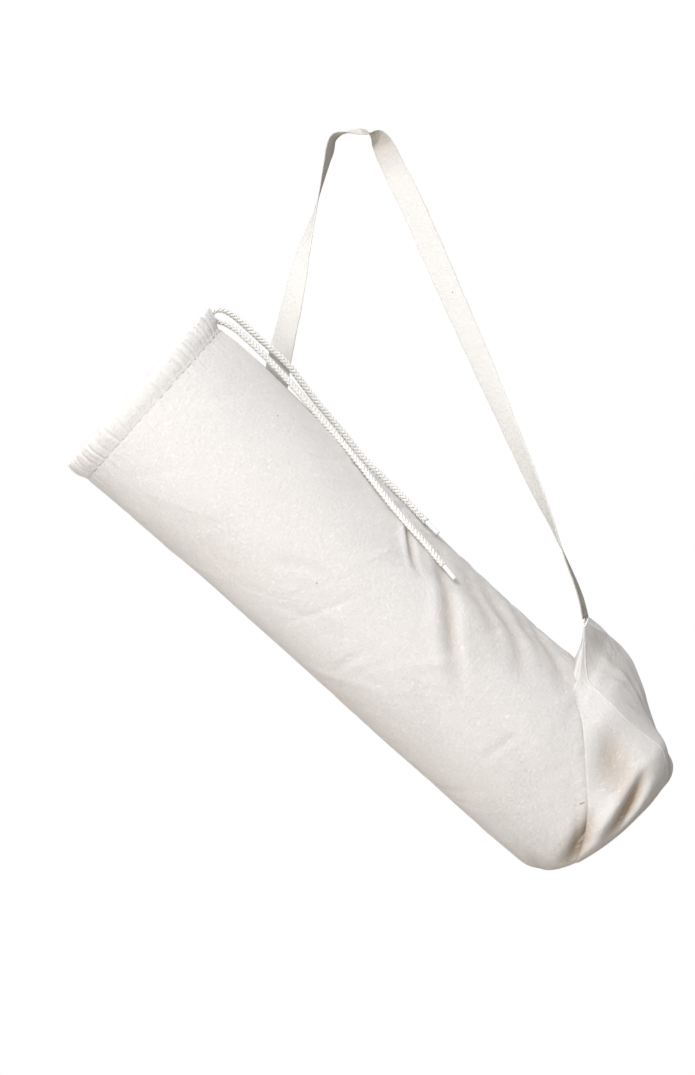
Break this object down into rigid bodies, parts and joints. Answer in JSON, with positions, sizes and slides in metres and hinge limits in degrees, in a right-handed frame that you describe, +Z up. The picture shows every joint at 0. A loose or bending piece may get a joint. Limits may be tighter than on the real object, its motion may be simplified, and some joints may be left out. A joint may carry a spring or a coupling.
{
  "type": "yoga mat bag",
  "caption": "Tubular canvas drawstring bag with a shoulder strap, for carrying a rolled exercise mat.",
  "frame": {"origin": "underside of the strap at its highest point, where the bag hangs", "axes": "+Z up as the bag hangs; the bag's long axis lies in the XZ plane and dips 41.6 degrees towards +X; -Y is the near side"},
  "size_m": [0.5338, 0.1782, 0.6516],
  "materials": {
    "canvas": "undyed cotton canvas, plain weave with slubs",
    "hem_canvas": "undyed cotton canvas, folded and stitched, gathered",
    "tape": "undyed woven cotton tape",
    "braid": "round cotton braid",
    "tip_plastic": "smooth white plastic tube"
  },
  "bodies": {
    "root": {"bag_body": "canvas", "hem_channel": "hem_canvas", "strap": "tape", "drawcord_in_channel": "braid", "drawcord_tail_long": "braid", "drawcord_tail_short": "braid", "cord_tip_long": "tip_plastic", "cord_tip_short": "tip_plastic"}
  },
  "joints": []
}
